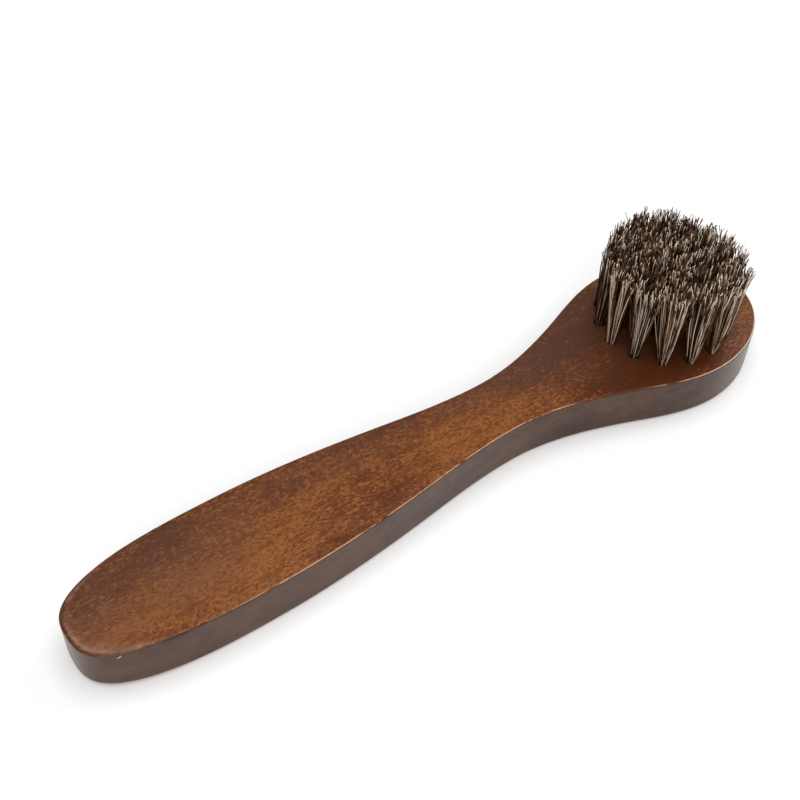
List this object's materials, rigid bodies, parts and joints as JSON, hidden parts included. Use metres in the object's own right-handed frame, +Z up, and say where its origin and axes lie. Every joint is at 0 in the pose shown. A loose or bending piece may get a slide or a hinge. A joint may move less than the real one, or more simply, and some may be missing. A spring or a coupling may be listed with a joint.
{
  "type": "shoe shine brush",
  "caption": "Flat wooden paddle handle with a round head carrying a field of horsehair tufts for putting polish on shoes and shining them.",
  "frame": {"origin": "on the underside, under the middle of the round tuft field", "axes": "+Z up through the bristles, +X along the handle towards the nose of the head, +Y to the left when looking towards the nose"},
  "size_m": [0.17, 0.038, 0.0295],
  "materials": {
    "stained_wood": "dark brown stain under a glossy clear lacquer",
    "horsehair": "coarse dark brown horsehair with paler grey and tan hairs",
    "anchor_wire": "flat drawn wire"
  },
  "bodies": {
    "root": {"handle": "stained_wood", "wire_anchors": "anchor_wire", "tuft_centre": "horsehair", "tuft_ring1_01": "horsehair", "tuft_ring1_02": "horsehair", "tuft_ring1_03": "horsehair", "tuft_ring1_04": "horsehair", "tuft_ring1_05": "horsehair", "tuft_ring2_01": "horsehair", "tuft_ring2_02": "horsehair", "tuft_ring2_03": "horsehair", "tuft_ring2_04": "horsehair", "tuft_ring2_05": "horsehair", "tuft_ring2_06": "horsehair", "tuft_ring2_07": "horsehair", "tuft_ring2_08": "horsehair", "tuft_ring2_09": "horsehair", "tuft_ring3_01": "horsehair", "tuft_ring3_02": "horsehair", "tuft_ring3_03": "horsehair", "tuft_ring3_04": "horsehair", "tuft_ring3_05": "horsehair", "tuft_ring3_06": "horsehair", "tuft_ring3_07": "horsehair", "tuft_ring3_08": "horsehair", "tuft_ring3_09": "horsehair", "tuft_ring3_10": "horsehair", "tuft_ring3_11": "horsehair", "tuft_ring3_12": "horsehair", "tuft_ring3_13": "horsehair", "tuft_ring3_14": "horsehair"}
  },
  "joints": []
}
